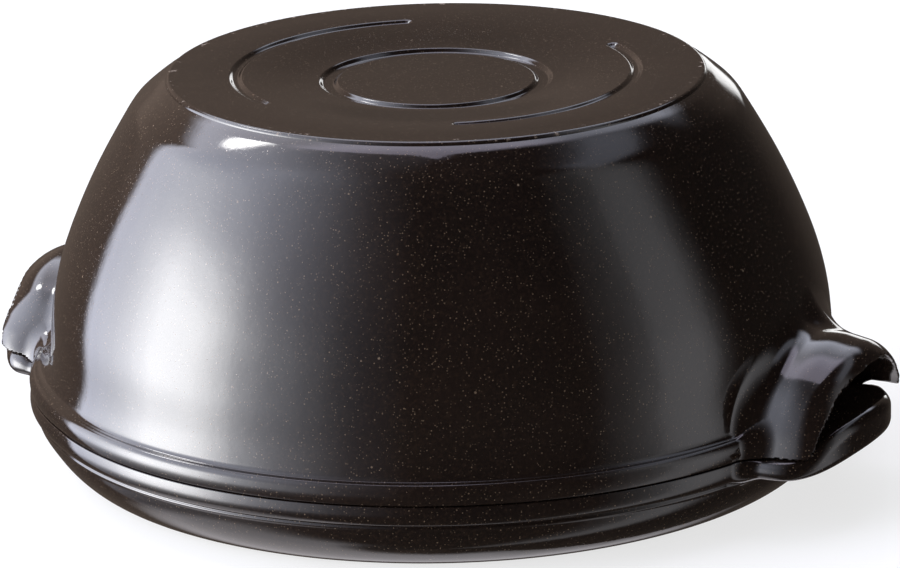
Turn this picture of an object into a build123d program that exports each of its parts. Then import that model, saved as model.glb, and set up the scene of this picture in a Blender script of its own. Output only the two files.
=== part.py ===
from build123d import *
from math import cos, radians, sin
import os

# Round glazed-ceramic bread cloche: a shallow dish with two ears and a tall
# dome lid with two matching arched ears that sit above them.
# Millimetres, +Z up. Origin: centre of the underside of the foot ring, on the
# surface the dish stands on. The ears lie along X.

# ---------------------------------------------------------------- overall
total_h = 137.0          # foot to flat top disc
seam_z = 25.7            # height of the joint between dish and lid

# ---------------------------------------------------------------- dome lid
disc_r = 92.6            # flat top disc, to the start of its rounded edge
disc_edge_r = 94.1       # widest point of the disc's edge
disc_edge_drop = 1.6
dome_pts = [             # outer wall below the disc edge: radius, height
    (99.6, 131.2), (104.3, 127.6), (112.0, 116.3), (119.6, 103.1),
    (126.6, 88.1), (132.9, 71.1), (136.4, 54.2), (138.0, 38.2),
]
cove_pt = (138.6, 34.6)  # where the wall turns out over the rim bead
bead_top_lid = (141.4, 32.5)
bead_out_lid = (143.0, 29.2)
bead_low_lid = (142.0, 26.1)
seat_outer_r = 140.9     # flat ring that carries the lid
seat_inner_r = 134.2
inner_rim_h = 5.0        # upright part of the lid's bore above the joint
inner_pts = [            # inner wall of the dome: radius, height
    (130.4, 38.2), (128.9, 54.2), (125.7, 70.0), (119.8, 85.4),
    (113.0, 99.6), (105.3, 111.6), (97.2, 120.6), (90.0, 125.4),
]
inner_top_r = 80.0
inner_top_z = 127.2
dish_pts = [             # the disc is slightly hollow: radius, depth below its edge
    (30.0, 3.3), (42.0, 3.0), (56.0, 1.6), (70.0, 0.4),
]
dish_edge_r = 84.0

# plain pressed-in rings on the disc
ring_in_r0, ring_in_r1 = 34.0, 40.8
ring_in_floor = 4.2      # depth of the ring's floor below the disc's edge
ring_out_r0, ring_out_r1 = 67.2, 72.0
ring_out_floor = 1.6
ring_out_gaps = ((54.6, 124.0), (241.0, 301.5))   # where the outer ring is broken

# ---------------------------------------------------------------- dish
bead_top_base = (142.0, 25.3)
bead_out_base = (143.0, 22.2)
bead_low_base = (141.5, 18.9)
groove_pt = (140.9, 17.6)
bowl_pts = [             # outer wall under the bead: radius, height
    (139.6, 13.6), (137.4, 9.4), (134.0, 5.2), (129.2, 1.6),
]
foot_r = 125.5           # outer edge of the flat foot ring
foot_in_r = 113.0
foot_recess = 2.4        # underside inside the foot ring is this much higher
dish_floor_z = 10.4
dish_in = [              # inside of the dish: radius, height
    (118.0, 10.4), (126.6, 14.0), (130.2, 20.5), (131.0, 26.0),
]
lip_in_r = 131.0         # locating lip that stands inside the lid's bore
lip_out_r = 133.6
lip_h = 3.0
ridge_r = (28.0, 52.0, 76.0, 100.0)   # low rings on the dish floor
ridge_w = 4.0
ridge_h = 1.4

# ---------------------------------------------------------------- ears
lid_ear_plan = [         # half outline: across the ear (Y), along X
    (0.0, 166.8), (12.0, 165.8), (20.0, 164.2), (28.0, 161.8),
    (35.0, 158.8), (41.0, 154.8), (43.9, 150.0), (44.4, 144.0),
]
lid_ear_top = [          # arch, upper surface: Y, height above the joint
    (0.0, 31.8), (10.9, 30.5), (21.8, 26.4), (30.5, 20.7),
    (37.6, 13.4), (42.2, 6.6), (44.4, 0.35),
]
lid_ear_low = [          # arch, lower surface
    (0.0, 24.6), (8.0, 24.0), (15.0, 22.2), (22.0, 18.7),
    (28.0, 13.9), (32.6, 8.8), (35.8, 3.9), (37.6, 0.35),
]
base_ear_tip_r = 168.6
base_ear_half = 44.4       # half width
base_ear_side_r = 153.6    # where the front curve would meet the straight side
base_ear_corner = 9.0
base_ear_top = [           # arch that runs out to the rim: Y, height above the joint
    (0.0, 13.4), (9.0, 12.6), (18.0, 10.1), (25.0, 7.0),
    (31.0, 3.4), (36.0, 0.8), (41.0, -0.4), (54.0, -0.6),
]
base_ear_low = (-1.6, -8.0)   # underside below the joint: middle, sides
base_ear_start_r = 144.2   # above the joint the ear stands clear of the lid
base_ear_ramp = 152.0      # and rises to full height by this radius
recess_root_r = 150.5      # finger recess under each ear of the dish
recess_tip_r = 160.6
recess_side_r = 155.0
recess_half = 27.0
recess_corner = 2.0
recess_crest = 5.2         # top of the recess above the joint
recess_side_z = -3.4
ear_root_r = 134.0
ear_round = 3.0          # rounding of the lid ears' free edges: above
ear_round_low = 1.6      # and below
base_ear_round_top = 3.0
base_ear_round_low = 1.6


def both_sides(pts):
    """Mirror a half curve given from the middle outwards."""
    return [(-a, b) for a, b in reversed(pts[1:])] + list(pts)


def plan_line(pts):
    return [(x, y) for y, x in both_sides(pts)]


def arch_line(pts):
    return [(y, seam_z + z) for y, z in both_sides(pts)]


# ================================================================ lid ear
with BuildPart() as lid_ear:
    with BuildSketch(Plane.XY.offset(seam_z - 2)):
        with BuildLine():
            outline = Spline(*plan_line(lid_ear_plan))
            Polyline(outline @ 1, (ear_root_r, lid_ear_plan[-1][0]),
                     (ear_root_r, -lid_ear_plan[-1][0]), outline @ 0)
        make_face()
    extrude(amount=42)
    with BuildSketch(Plane.YZ.offset(120)):
        with BuildLine():
            upper = Spline(*arch_line(lid_ear_top))
            lower = Spline(*arch_line(lid_ear_low))
            Line(upper @ 0, lower @ 0)
            Line(upper @ 1, lower @ 1)
        make_face()
    extrude(amount=60, mode=Mode.INTERSECT)
    # round the outer face into the upper and lower surfaces of the arch
    rim_edges = lid_ear.edges().filter_by(
        lambda e: e.center().X > 145 and e.length > 60).sort_by(Axis.Z)
    fillet(rim_edges[0], ear_round_low)
    rim_edges = lid_ear.edges().filter_by(
        lambda e: e.center().X > 145 and e.length > 60).sort_by(Axis.Z)
    fillet(rim_edges[-1], ear_round)

# ============================== finger recess under each ear of the dish
with BuildPart() as recess:
    with BuildSketch(Plane.XY.offset(seam_z - 14)):
        with BuildLine():
            front = ThreePointArc((recess_side_r, -recess_half), (recess_tip_r, 0),
                                  (recess_side_r, recess_half))
            Polyline(front @ 1, (recess_root_r, recess_half),
                     (recess_root_r, -recess_half), front @ 0)
        outline = make_face()
        fillet(outline.vertices(), recess_corner)
    extrude(amount=40)
    with BuildSketch(Plane.YZ.offset(120)):
        with BuildLine():
            crest = ThreePointArc((-recess_half, seam_z + recess_side_z),
                                  (0, seam_z + recess_crest),
                                  (recess_half, seam_z + recess_side_z))
            Polyline(crest @ 1, (recess_half, seam_z - 13),
                     (-recess_half, seam_z - 13), crest @ 0)
        make_face()
    extrude(amount=60, mode=Mode.INTERSECT)

# =============================================================== base ear
with BuildPart() as base_ear:
    with BuildSketch(Plane.XY.offset(seam_z - 12)):
        with BuildLine():
            front = ThreePointArc((base_ear_side_r, -base_ear_half),
                                  (base_ear_tip_r, 0),
                                  (base_ear_side_r, base_ear_half))
            Polyline(front @ 1, (ear_root_r, base_ear_half),
                     (ear_root_r, -base_ear_half), front @ 0)
        outline = make_face()
        fillet(outline.vertices().group_by(Axis.X)[-1], base_ear_corner)
    extrude(amount=40)
    with BuildSketch(Plane.YZ.offset(120)):
        with BuildLine():
            crest = Spline(*arch_line(base_ear_top))
            under = ThreePointArc((54, seam_z + base_ear_low[1]),
                                  (0, seam_z + base_ear_low[0]),
                                  (-54, seam_z + base_ear_low[1]))
            Line(crest @ 1, under @ 0)
            Line(under @ 1, crest @ 0)
        make_face()
    extrude(amount=60, mode=Mode.INTERSECT)
    # round the outer face into the upper surface, then into the underside
    rim_edges = base_ear.edges().filter_by(lambda e: e.center().X > 140)
    fillet(rim_edges.filter_by(
        lambda e: e.center().Z > seam_z - 1.2), base_ear_round_top)
    rim_edges = base_ear.edges().filter_by(lambda e: e.center().X > 140)
    fillet(rim_edges.filter_by(
        lambda e: e.bounding_box().max.Z < seam_z + base_ear_low[0] + 0.1),
        base_ear_round_low)
    # above the joint the ear stands clear of the lid and rises outwards
    with BuildSketch(Plane.XZ.offset(-60)):
        with BuildLine():
            Polyline((ear_root_r - 1, seam_z - 0.6), (base_ear_start_r, seam_z - 0.6),
                     (base_ear_start_r, seam_z + 1.5),
                     (base_ear_ramp, seam_z + base_ear_top[0][1] + 1),
                     (base_ear_ramp, seam_z + 30), (ear_root_r - 1, seam_z + 30),
                     close=True)
        make_face()
    extrude(amount=120, mode=Mode.SUBTRACT)
    # finger recess underneath
    add(recess.part, mode=Mode.SUBTRACT)

# =============================================================== dome lid
with BuildPart() as dome_lid:
    with BuildSketch(Plane.XZ):
        with BuildLine():
            Line((0, seam_z), (0, total_h - dish_pts[0][1]))
            middle = Line((0, total_h - dish_pts[0][1]),
                          (dish_pts[0][0], total_h - dish_pts[0][1]))
            hollow = Spline(middle @ 1, *[(r, total_h - d) for r, d in dish_pts[1:]],
                            (dish_edge_r, total_h), tangents=((1, 0), (1, 0)))
            Line(hollow @ 1, (disc_r, total_h))
            edge = ThreePointArc((disc_r, total_h),
                                 (disc_r + 1.1, total_h - 0.45),
                                 (disc_edge_r, total_h - disc_edge_drop))
            side = Spline(edge @ 1, *dome_pts, cove_pt)
            cove = Spline(side @ 1, bead_top_lid,
                          tangents=((0.25, -1), (1, -0.35)))
            bead = ThreePointArc(cove @ 1, bead_out_lid, bead_low_lid)
            Line(bead @ 1, (seat_outer_r, seam_z))
            Line((seat_outer_r, seam_z), (0, seam_z))
        make_face()
    revolve(axis=Axis.Z)
    add(lid_ear.part)
    add(lid_ear.part.mirror(Plane.YZ))
    # hollow
    with BuildSketch(Plane.XZ):
        with BuildLine():
            Line((0, seam_z - 5), (seat_inner_r, seam_z - 5))
            Line((seat_inner_r, seam_z - 5), (seat_inner_r, seam_z + inner_rim_h))
            inner = Spline((seat_inner_r, seam_z + inner_rim_h), *inner_pts,
                           (inner_top_r, inner_top_z),
                           tangents=((-0.5, 1), (-1, 0.0)))
            Line(inner @ 1, (0, inner_top_z))
            Line((0, inner_top_z), (0, seam_z - 5))
        make_face()
    revolve(axis=Axis.Z, mode=Mode.SUBTRACT)
    # plain pressed-in rings, the outer one broken twice
    with BuildSketch(Plane.XY.offset(total_h - ring_in_floor)):
        Circle(ring_in_r1)
        Circle(ring_in_r0, mode=Mode.SUBTRACT)
    extrude(amount=ring_in_floor, mode=Mode.SUBTRACT)
    with BuildSketch(Plane.XY.offset(total_h - ring_out_floor)):
        Circle(ring_out_r1)
        Circle(ring_out_r0, mode=Mode.SUBTRACT)
        for a0, a1 in ring_out_gaps:
            with BuildLine():
                Polyline((0, 0), *[(100 * cos(radians(a)), 100 * sin(radians(a)))
                                   for a in (a0, (a0 + a1) / 2, a1)], close=True)
            make_face(mode=Mode.SUBTRACT)
    extrude(amount=ring_out_floor + 1, mode=Mode.SUBTRACT)
dome_lid.part.label = "dome_lid"

# ============================================================== base dish
with BuildPart() as base_dish:
    with BuildSketch(Plane.XZ):
        with BuildLine():
            Line((0, 0), (0, seam_z))
            Line((0, seam_z), (seat_outer_r, seam_z))
            Line((seat_outer_r, seam_z), bead_top_base)
            bead = ThreePointArc(bead_top_base, bead_out_base, bead_low_base)
            Line(bead @ 1, groove_pt)
            bowl = Spline(groove_pt, *bowl_pts, (foot_r, 0.0))
            Line(bowl @ 1, (0, 0))
        make_face()
    revolve(axis=Axis.Z)
    add(base_ear.part)
    add(base_ear.part.mirror(Plane.YZ))
    # locating lip
    with BuildSketch(Plane.XY.offset(seam_z - 1)):
        Circle(lip_out_r)
    extrude(amount=1 + lip_h)
    # inside of the dish
    with BuildSketch(Plane.XZ):
        with BuildLine():
            Line((0, dish_floor_z), (0, seam_z + lip_h + 5))
            Line((0, seam_z + lip_h + 5), (lip_in_r, seam_z + lip_h + 5))
            Line((lip_in_r, seam_z + lip_h + 5), dish_in[-1])
            hollow = Spline(*reversed(dish_in), tangents=((0, -1), (-1, 0)))
            Line(hollow @ 1, (0, dish_floor_z))
        make_face()
    revolve(axis=Axis.Z, mode=Mode.SUBTRACT)
    # underside recess inside the foot ring
    with BuildSketch():
        Circle(foot_in_r)
    extrude(amount=foot_recess, mode=Mode.SUBTRACT)
    # low rings on the floor
    with BuildSketch(Plane.XY.offset(dish_floor_z - 0.5)):
        for r in ridge_r:
            Circle(r + ridge_w / 2)
            Circle(r - ridge_w / 2, mode=Mode.SUBTRACT)
    extrude(amount=0.5 + ridge_h)
base_dish.part.label = "base_dish"

os.makedirs("parts", exist_ok=True)
export_step(dome_lid.part, "parts/dome_lid.step")
export_step(base_dish.part, "parts/base_dish.step")

for piece in (dome_lid, base_dish):
    box = piece.part.bounding_box()
    print(piece.part.label, "solids", len(piece.part.solids()),
          "volume", round(piece.part.volume), "box", box.min, box.max,
          "valid", piece.part.is_valid)
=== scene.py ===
import bpy
from mathutils import Matrix, Vector
import math
import numpy as np


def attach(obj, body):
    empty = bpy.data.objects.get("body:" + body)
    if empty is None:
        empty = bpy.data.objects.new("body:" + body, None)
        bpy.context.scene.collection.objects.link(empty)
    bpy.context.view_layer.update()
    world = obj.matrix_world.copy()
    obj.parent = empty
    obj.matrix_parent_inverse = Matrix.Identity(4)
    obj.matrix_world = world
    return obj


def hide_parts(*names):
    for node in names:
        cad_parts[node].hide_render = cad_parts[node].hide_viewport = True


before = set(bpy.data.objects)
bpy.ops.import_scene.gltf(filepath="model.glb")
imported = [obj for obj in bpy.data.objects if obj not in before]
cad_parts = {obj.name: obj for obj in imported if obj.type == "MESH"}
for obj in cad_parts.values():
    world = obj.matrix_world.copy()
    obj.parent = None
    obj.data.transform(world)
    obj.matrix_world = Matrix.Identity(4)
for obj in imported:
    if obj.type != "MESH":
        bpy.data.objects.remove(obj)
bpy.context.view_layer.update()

SEAM = 25.7
LID_CUT = SEAM + 0.1      # underside of the lid's rim and ears
DISH_TOP = SEAM - 0.1     # top of the dish's rim beside the ears
SECTOR = math.radians(28)
LID_HI = 76.0              # above this the lid is a plain turned shape
DISH_LO = 8.0              # below this the dish is a plain turned shape


# ------------------------------------------------------------------ curves
def spline(points, step=0.25, start=None, end=None):
    """Smooth curve through points, sampled every step; start and end are directions."""
    p = np.array(points, float)
    n = len(p)
    h = np.linalg.norm(np.diff(p, axis=0), axis=1)
    a, b = np.zeros((n, n)), np.zeros((n, 2))
    for i in range(1, n - 1):
        a[i, i - 1:i + 2] = h[i], 2 * (h[i - 1] + h[i]), h[i - 1]
        b[i] = 3 * (h[i] * (p[i] - p[i - 1]) / h[i - 1] + h[i - 1] * (p[i + 1] - p[i]) / h[i])
    for row, other, way, k in ((0, 1, start, 0), (n - 1, n - 2, end, n - 2)):
        if way is None:
            a[row, row], a[row, other] = 2, 1
            b[row] = 3 * (p[k + 1] - p[k]) / h[k]
        else:
            a[row, row] = 1
            b[row] = np.array(way, float) / np.linalg.norm(way)
    m = np.linalg.solve(a, b)
    out = []
    for i in range(n - 1):
        t = np.linspace(0, 1, max(2, int(math.ceil(h[i] / step)) + 1))[:, None]
        t = t if i == n - 2 else t[:-1]
        out.append((1 + 2 * t) * (1 - t) ** 2 * p[i] + t * (1 - t) ** 2 * h[i] * m[i]
                   + t * t * (3 - 2 * t) * p[i + 1] + t * t * (t - 1) * h[i] * m[i + 1])
    return np.vstack(out)


def arc(centre, r, a0, a1, step=0.2):
    n = max(3, int(abs(math.radians(a1 - a0)) * r / step) + 1)
    a = np.radians(np.linspace(a0, a1, n))
    return np.stack([centre[0] + r * np.cos(a), centre[1] + r * np.sin(a)], 1)


def line(p, q, step=1.0):
    n = max(2, int(math.dist(p, q) / step) + 1)
    return np.linspace(p, q, n)


def curve(*pieces):
    """(points, normals to the left of the way it runs) of pieces laid end to end."""
    pts = [np.asarray(pieces[0], float)]
    for q in pieces[1:]:
        q = np.asarray(q, float)
        pts.append(q[1:] if np.allclose(q[0], pts[-1][-1], atol=1e-6) else q)
    c = np.vstack(pts)
    d = np.diff(c, axis=0)
    length = np.linalg.norm(d, axis=1)[:, None]
    d = d / length
    t = np.vstack([d[:1], (d[:-1] * length[1:] + d[1:] * length[:-1]) / (length[1:] + length[:-1]), d[-1:]])
    t /= np.linalg.norm(t, axis=1)[:, None]
    return c, np.stack([-t[:, 1], t[:, 0]], 1)


def near(cur, u, v, coarse=1):
    """Signed distance of (u, v) from a curve, positive on its left, and the direction it grows in."""
    c, nrm = cur
    if coarse > 1:
        keep = np.unique(np.r_[np.arange(0, len(c), coarse), len(c) - 1])
        c, nrm = c[keep], nrm[keep]
    q = np.stack([np.ravel(u), np.ravel(v)], 1)
    dist, grow = np.empty(len(q)), np.empty((len(q), 2))
    size = max(1, 6_000_000 // len(c))
    for s in range(0, len(q), size):
        p = q[s:s + size]
        d2 = (p[:, :1] - c[None, :, 0]) ** 2
        d2 += (p[:, 1:] - c[None, :, 1]) ** 2
        i = d2.argmin(1)
        best = None
        for j in (np.clip(i - 1, 0, len(c) - 2), np.clip(i, 0, len(c) - 2)):
            a, b = c[j], c[j + 1]
            ab = b - a
            t = np.clip(((p - a) * ab).sum(1) / (ab * ab).sum(1), 0, 1)[:, None]
            r = p - (a + t * ab)
            n = nrm[j] * (1 - t) + nrm[j + 1] * t
            n /= np.linalg.norm(n, axis=1)[:, None]
            e = (r * r).sum(1)
            if best is None:
                best = [e, (r * n).sum(1), n]
            else:
                w = e < best[0]
                best[1] = np.where(w, (r * n).sum(1), best[1])
                best[2] = np.where(w[:, None], n, best[2])
        dist[s:s + size], grow[s:s + size] = best[1], best[2]
    return dist, grow


# ------------------------------------------------- shapes as fields: (distance, gradient)
def around(cur, p, coarse=1):
    """A profile (radius, height) turned about Z."""
    rho = np.hypot(p[:, 0], p[:, 1])
    d, n = near(cur, rho, p[:, 2], coarse)
    safe = np.maximum(rho, 1e-6)
    return d, np.stack([n[:, 0] * p[:, 0] / safe, n[:, 0] * p[:, 1] / safe, n[:, 1]], 1)


def along(cur, p, iu, iv, coarse=1, limit=None):
    """A profile in the plane of two axes, carried straight along the third."""
    u = p[:, iu] if limit is None else np.clip(p[:, iu], -limit, limit)
    d, n = near(cur, u, p[:, iv], coarse)
    g = np.zeros((len(p), 3))
    g[:, iu], g[:, iv] = n[:, 0], n[:, 1]
    return d, g


def join(a, b, r, slope=None):
    """Union with a fillet of radius r; slope is the gradient of r where it varies."""
    (da, ga), (db, gb) = a, b
    u, v = np.maximum(r - da, 0), np.maximum(r - db, 0)
    length = np.hypot(u, v)
    d = np.maximum(r, np.minimum(da, db)) - length
    soft = length > 1e-9
    k = np.where(soft, length, 1)[:, None]
    g = np.where(soft[:, None], (u[:, None] * ga + v[:, None] * gb) / k,
                 np.where((da < db)[:, None], ga, gb))
    if slope is not None:
        g = g + np.where(soft, 1 - (u + v) / k[:, 0], 0)[:, None] * slope
    return d, g


def meet(a, b, r, slope=None):
    """Intersection whose edge is rounded to radius r."""
    d, g = join((-a[0], -a[1]), (-b[0], -b[1]), r, None if slope is None else slope)
    return -d, -g


def hard_meet(a, b):
    w = a[0] > b[0]
    return np.where(w, a[0], b[0]), np.where(w[:, None], a[1], b[1])


def plane(p, normal, at):
    g = np.tile(np.array(normal, float), (len(p), 1))
    return p @ np.array(normal, float) - at, g


def both(pts):
    return [(-a, b) for a, b in reversed(pts[1:])] + list(pts)


# ------------------------------------------------------------ lid profile
disc_edge = arc((92.6, 135.5), 1.5, 90, 8)
# the shoulder turns steadily: (distance from the disc's edge, slope of the surface in degrees)
run = np.arange(0, 27, 0.25)
turns = np.radians(np.interp(run, [0, 2.2, 3.6, 6.8, 10.2, 12.8, 15.8, 19.5, 27],
                             [64.0, 61.0, 54.3, 52.0, 50.0, 46.3, 35.2, 31.2, 30.2]))
shoulder = [(disc_edge[-1][0] + 0.25 * np.sin(turns[:i]).sum(), disc_edge[-1][1] - 0.25 * np.cos(turns[:i]).sum())
            for i in (4, 8, 12, 15, 20, 28, 38, 48, 55, 62, 72, 84, 100)]
wall = spline([tuple(disc_edge[-1]), *shoulder, (119.6, 103.1), (126.6, 88.1), (132.9, 71.1), (136.4, 54.2), (138.0, 38.2), (138.55, 35.4)],
              start=(1, -0.488), end=(0.22, -1))
cove = spline([tuple(wall[-1]), (139.3, 33.75), (140.6, 33.0)], 0.15, start=(0.22, -1), end=(1, -0.1))
bead_a = spline([tuple(cove[-1]), (142.2, 31.9), (143.0, 29.0), (142.6, 26.2)], 0.2,
                start=(1, -0.1), end=(-0.3, -1))
lid_outer = curve(wall, cove, bead_a, line(bead_a[-1], (141.6, 18.0)))

# ------------------------------------------------------------------ ears
# Each ear in its own frame: across (the camera's side negative), height over the rim plane, and out along its axis.
# part: parting face; top, low: arch of the lid's ear; plan: its outline; dish, under: outline and underside below.
RIGHT = {
    "part": [(-60, 0), (-48, 0), (-42, 0.15), (-38, 1.6), (-33, 5.2), (-26, 9.2), (-16, 12.2), (-4, 13.6), (4, 13.3),
             (12, 12.0), (20, 9.8), (28, 7.2), (36, 4.4), (44, 1.9), (50, 0.4), (54, 0), (60, 0)],
    "lift": 1.3,
    "top": [(-41.4, 0), (-39.3, 7), (-35.4, 14.6), (-28, 22.6), (-18, 28.6), (-9, 31.7), (0, 32.6), (10, 31.3),
            (18, 28.3), (28, 22.9), (36, 16.2), (41, 9.4), (44.3, 2.0)],
    "low": [(-38.6, 0), (-36.4, 5.2), (-33, 10.4), (-28, 15.6), (-22, 20.0), (-15, 23.0), (-8, 24.6), (0, 25.1),
            (8, 24.6), (15, 23.0), (22, 19.8), (28, 15.6), (33, 10.8), (37, 6.4), (40, 2.0)],
    "plan": [(-45.0, 143.0), (-44.6, 150.5), (-42.6, 156.0), (-39, 159.0), (-34, 161.4), (-28, 163.2), (-20, 164.8),
             (-11, 166.1), (0, 166.6), (12, 166.0), (20, 164.6), (28, 162.6), (34, 160.2), (39, 157.2), (42.2, 154.0),
             (44.4, 149.5), (45.0, 143.0)],
    "dish": [(-44.8, 141), (-44.5, 147.5), (-43, 152.6), (-39.5, 156.8), (-32, 161.4), (-24, 164.6), (-15, 167.2),
             (-5, 168.6), (3, 168.4), (10, 166.6), (17, 163.6), (24, 159.8), (32, 155.2), (39, 150.4), (43.2, 145.4),
             (44.8, 140)],
    "under": [(-64, -12), (-50, -8.0), (-41, -6.6), (-30, -5.0), (-18, -2.8), (-6, -1.4), (6, -1.0), (20, -2.0),
              (41, -6.0), (64, -12)],
    "edge": (5.0, 9.0), "droop": 0.2, "flank": 8.0}
LEFT = {
    "lift": 0.0,
    "part": [(-60, 0), (-54, 0), (-50, 0.4), (-46, 1.3), (-42, 2.6), (-36, 5.0), (-28, 8.2), (-18, 11.2), (-6, 13.1),
             (6, 13.1), (18, 11.2), (28, 8.2), (36, 5.0), (42, 2.6), (46, 1.3), (50, 0.4), (54, 0), (60, 0)],
    "top": [(-45.0, 1.0), (-41.6, 6.2), (-38, 12.0), (-33, 18.0), (-26, 23.2), (-18, 27.0), (-9, 29.2), (0, 29.9),
            (9, 29.2), (18, 27.0), (26, 23.2), (33, 18.0), (38, 12.0), (41.6, 6.2), (45.0, 1.0)],
    "low": [(-40.8, 2.0), (-37, 6.4), (-33, 10.6), (-28, 15.2), (-22, 18.8), (-15, 21.6), (-8, 23.2), (0, 23.8),
            (8, 23.2), (15, 21.6), (22, 18.8), (28, 15.2), (33, 10.6), (37, 6.4), (40.8, 2.0)],
    "plan": [(-47.4, 143.0), (-46.2, 149.0), (-43.4, 153.6), (-39.5, 157.0), (-34, 160.2), (-28, 162.4), (-20, 164.6),
             (-11, 166.0), (0, 166.6), (11, 166.0), (20, 164.6), (28, 162.4), (34, 160.0), (39.5, 157.0),
             (43.4, 153.6), (46.2, 149.0), (47.4, 143.0)],
    "dish": [(-46.4, 137), (-46.0, 143), (-44.6, 148.2), (-41.2, 152.3), (-35.4, 156.6), (-28, 160.4), (-20, 163.4),
             (-11, 166.8), (0, 168.4), (10, 166.8), (20, 163.4), (28, 159.4), (35, 155.2), (40.6, 150.6),
             (43.8, 146.2), (45.6, 141), (46.4, 136)],
    "under": [(-64, -12), (-50, -6.6), (-41, -4.9), (-30, -3.8), (-15, -2.4), (0, -1.8), (15, -2.4), (30, -4.2),
              (41, -5.6), (50, -7.4), (64, -12)],
    "edge": (5.0, 16.0), "droop": 0.05, "flank": 0.0}
PART_R0, PART_RUN = 142.8, 9.0
EAR_FILLET, DISH_EDGE, DISH_FILLET = 8.0, 3.4, 5.5


def lifted(points):
    return [(a, SEAM + b) for a, b in points]


def legs(c, out, drop):
    return [line(c[0] + [-out, -drop], c[0]), c, line(c[-1], c[-1] + [out, -drop])]


def ear_shape(e):
    """The curves of one ear."""
    part = spline(e["part"], 0.2, start=(1, 0), end=(1, 0))
    top = spline(lifted(e["top"]))
    low = spline(lifted(e["low"]))
    plan = spline(e["plan"])
    dish = spline(e["dish"])
    under = spline(lifted(e["under"]))
    return {"part": part, "slope": np.gradient(part[:, 1], part[:, 0]),
            "top": curve(*legs(top, 4.0, 7.0)), "low": curve(*[q[::-1] for q in reversed(legs(low, 4.0, 7.0))]),
            "plan": curve(*legs(plan, 0.9, 15.0)), "dish": curve(*legs(dish, 0.6, 15.0)), "under": curve(under[::-1]),
            "edge": e["edge"], "droop": e["droop"], "flank": e["flank"], "lift": e["lift"]}


EARS = {1: ear_shape(RIGHT), -1: ear_shape(LEFT)}


def parting(p, shift, way, e):
    """Distance above (way 1) or below (way -1) the parting face, shift mm higher than it."""
    rho = np.maximum(np.hypot(p[:, 0], p[:, 1]), 1e-6)
    line_t, line_z = e["part"][:, 0], e["part"][:, 1]
    a = np.interp(p[:, 1], line_t, line_z, left=0, right=0)
    da = np.interp(p[:, 1], line_t, e["slope"], left=0, right=0)
    t = np.clip((rho - PART_R0) / PART_RUN, 0, 1)
    w, dw = t * t * (3 - 2 * t), 6 * t * (1 - t) / PART_RUN
    out = np.maximum(p[:, 0] - 152.0, 0)
    k, dk = 1 - 0.013 * out, np.where(out > 0, -0.013, 0)
    hx = a * (dw * p[:, 0] / rho * k + w * dk)
    hy = da * w * k + a * dw * p[:, 1] / rho * k
    size = np.sqrt(1 + hx * hx + hy * hy)
    d = (p[:, 2] - SEAM - shift - a * w * k) / size
    return way * d, way * np.stack([-hx, -hy, np.ones(len(p))], 1) / size[:, None]


def lid_field(p, coarse=1, side=1):
    e = EARS[side]
    fall = np.maximum(p[:, 0] - 146.0, 0)
    fall = np.where(fall < 6, fall * fall / 12, fall - 3)
    grow = np.clip((p[:, 0] - 146.0) / 6, 0, 1) * e["droop"]
    q = p.copy()
    q[:, 2] += e["droop"] * fall
    d, g = along(e["top"], q, 1, 2, coarse)
    g[:, 0] += g[:, 2] * grow
    t = np.clip((p[:, 2] - SEAM - 2) / 20.0, 0, 1)
    lo, hi = e["edge"]
    slope = np.zeros_like(p)
    slope[:, 2] = (hi - lo) * 6 * t * (1 - t) / 20.0
    ear = meet((d, g), along(e["plan"], p, 1, 0, coarse), lo + (hi - lo) * t * t * (3 - 2 * t), slope)
    ear = meet(ear, along(e["low"], p, 1, 2, coarse), 1.0)
    t, u = np.clip((p[:, 1] - 4) / 16.0, 0, 1), np.clip((p[:, 2] - SEAM - 10) / 10.0, 0, 1)
    a, b = t * t * (3 - 2 * t), u * u * (3 - 2 * u)
    slope = np.stack([np.zeros(len(p)), e["flank"] * 6 * t * (1 - t) / 16.0 * b, e["flank"] * a * 6 * u * (1 - u) / 10.0], 1)
    f = join(around(lid_outer, p, coarse), ear, EAR_FILLET + e["flank"] * a * b, slope)
    t = np.clip((p[:, 1] - 18) / 12, 0, 1)
    u = np.clip((np.hypot(p[:, 0], p[:, 1]) - PART_R0) / PART_RUN, 0, 1)
    return meet(f, parting(p, 0.1 + e["lift"] * t * t * (3 - 2 * t) * u * u * (3 - 2 * u), -1, e), 0.5)


# ----------------------------------------------------------- dish profile
bead_b = spline([(142.2, 30.0), (142.6, 25.6), (143.0, 22.4), (142.5, 19.8), (141.2, 18.5)], 0.2,
                start=(0.05, -1), end=(-1, -0.25))
groove = spline([tuple(bead_b[-1]), (140.7, 18.1), (141.0, 17.4), (140.6, 16.2)], 0.1,
                start=(-1, -0.25), end=(-0.2, -1))
bowl = spline([tuple(groove[-1]), (139.5, 12.6), (137.4, 9.0), (134.0, 5.1), (129.6, 1.7), (126.0, 0.25)],
              0.25, start=(-0.2, -1), end=(-1, -0.25))
dish_outer = curve(bead_b, groove, bowl, line(bowl[-1], (120.0, -1.0)))

HALF, ROOT, TIP, SIDE = 27.0, 150.5, 160.6, 155.0


def recess_field(p):
    sign = np.sign(p[:, 1])
    z = np.zeros(len(p))
    sides = (np.abs(p[:, 1]) - HALF, np.stack([z, sign, z], 1))
    root = plane(p, (-1, 0, 0), -ROOT)
    k = (TIP - SIDE) / HALF ** 2
    slope = 2 * k * p[:, 1]
    size = np.sqrt(1 + slope ** 2)
    front = ((p[:, 0] - TIP + k * p[:, 1] ** 2) / size, np.stack([1 / size, slope / size, z], 1))
    k = 8.6 / HALF ** 2
    slope = 2 * k * p[:, 1]
    size = np.sqrt(1 + slope ** 2)
    roof = ((p[:, 2] - (SEAM + 5.2) + k * p[:, 1] ** 2) / size, np.stack([z, slope / size, 1 / size], 1))
    return meet(meet(meet(sides, root, 2.0), front, 2.0), roof, 2.0)


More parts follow.
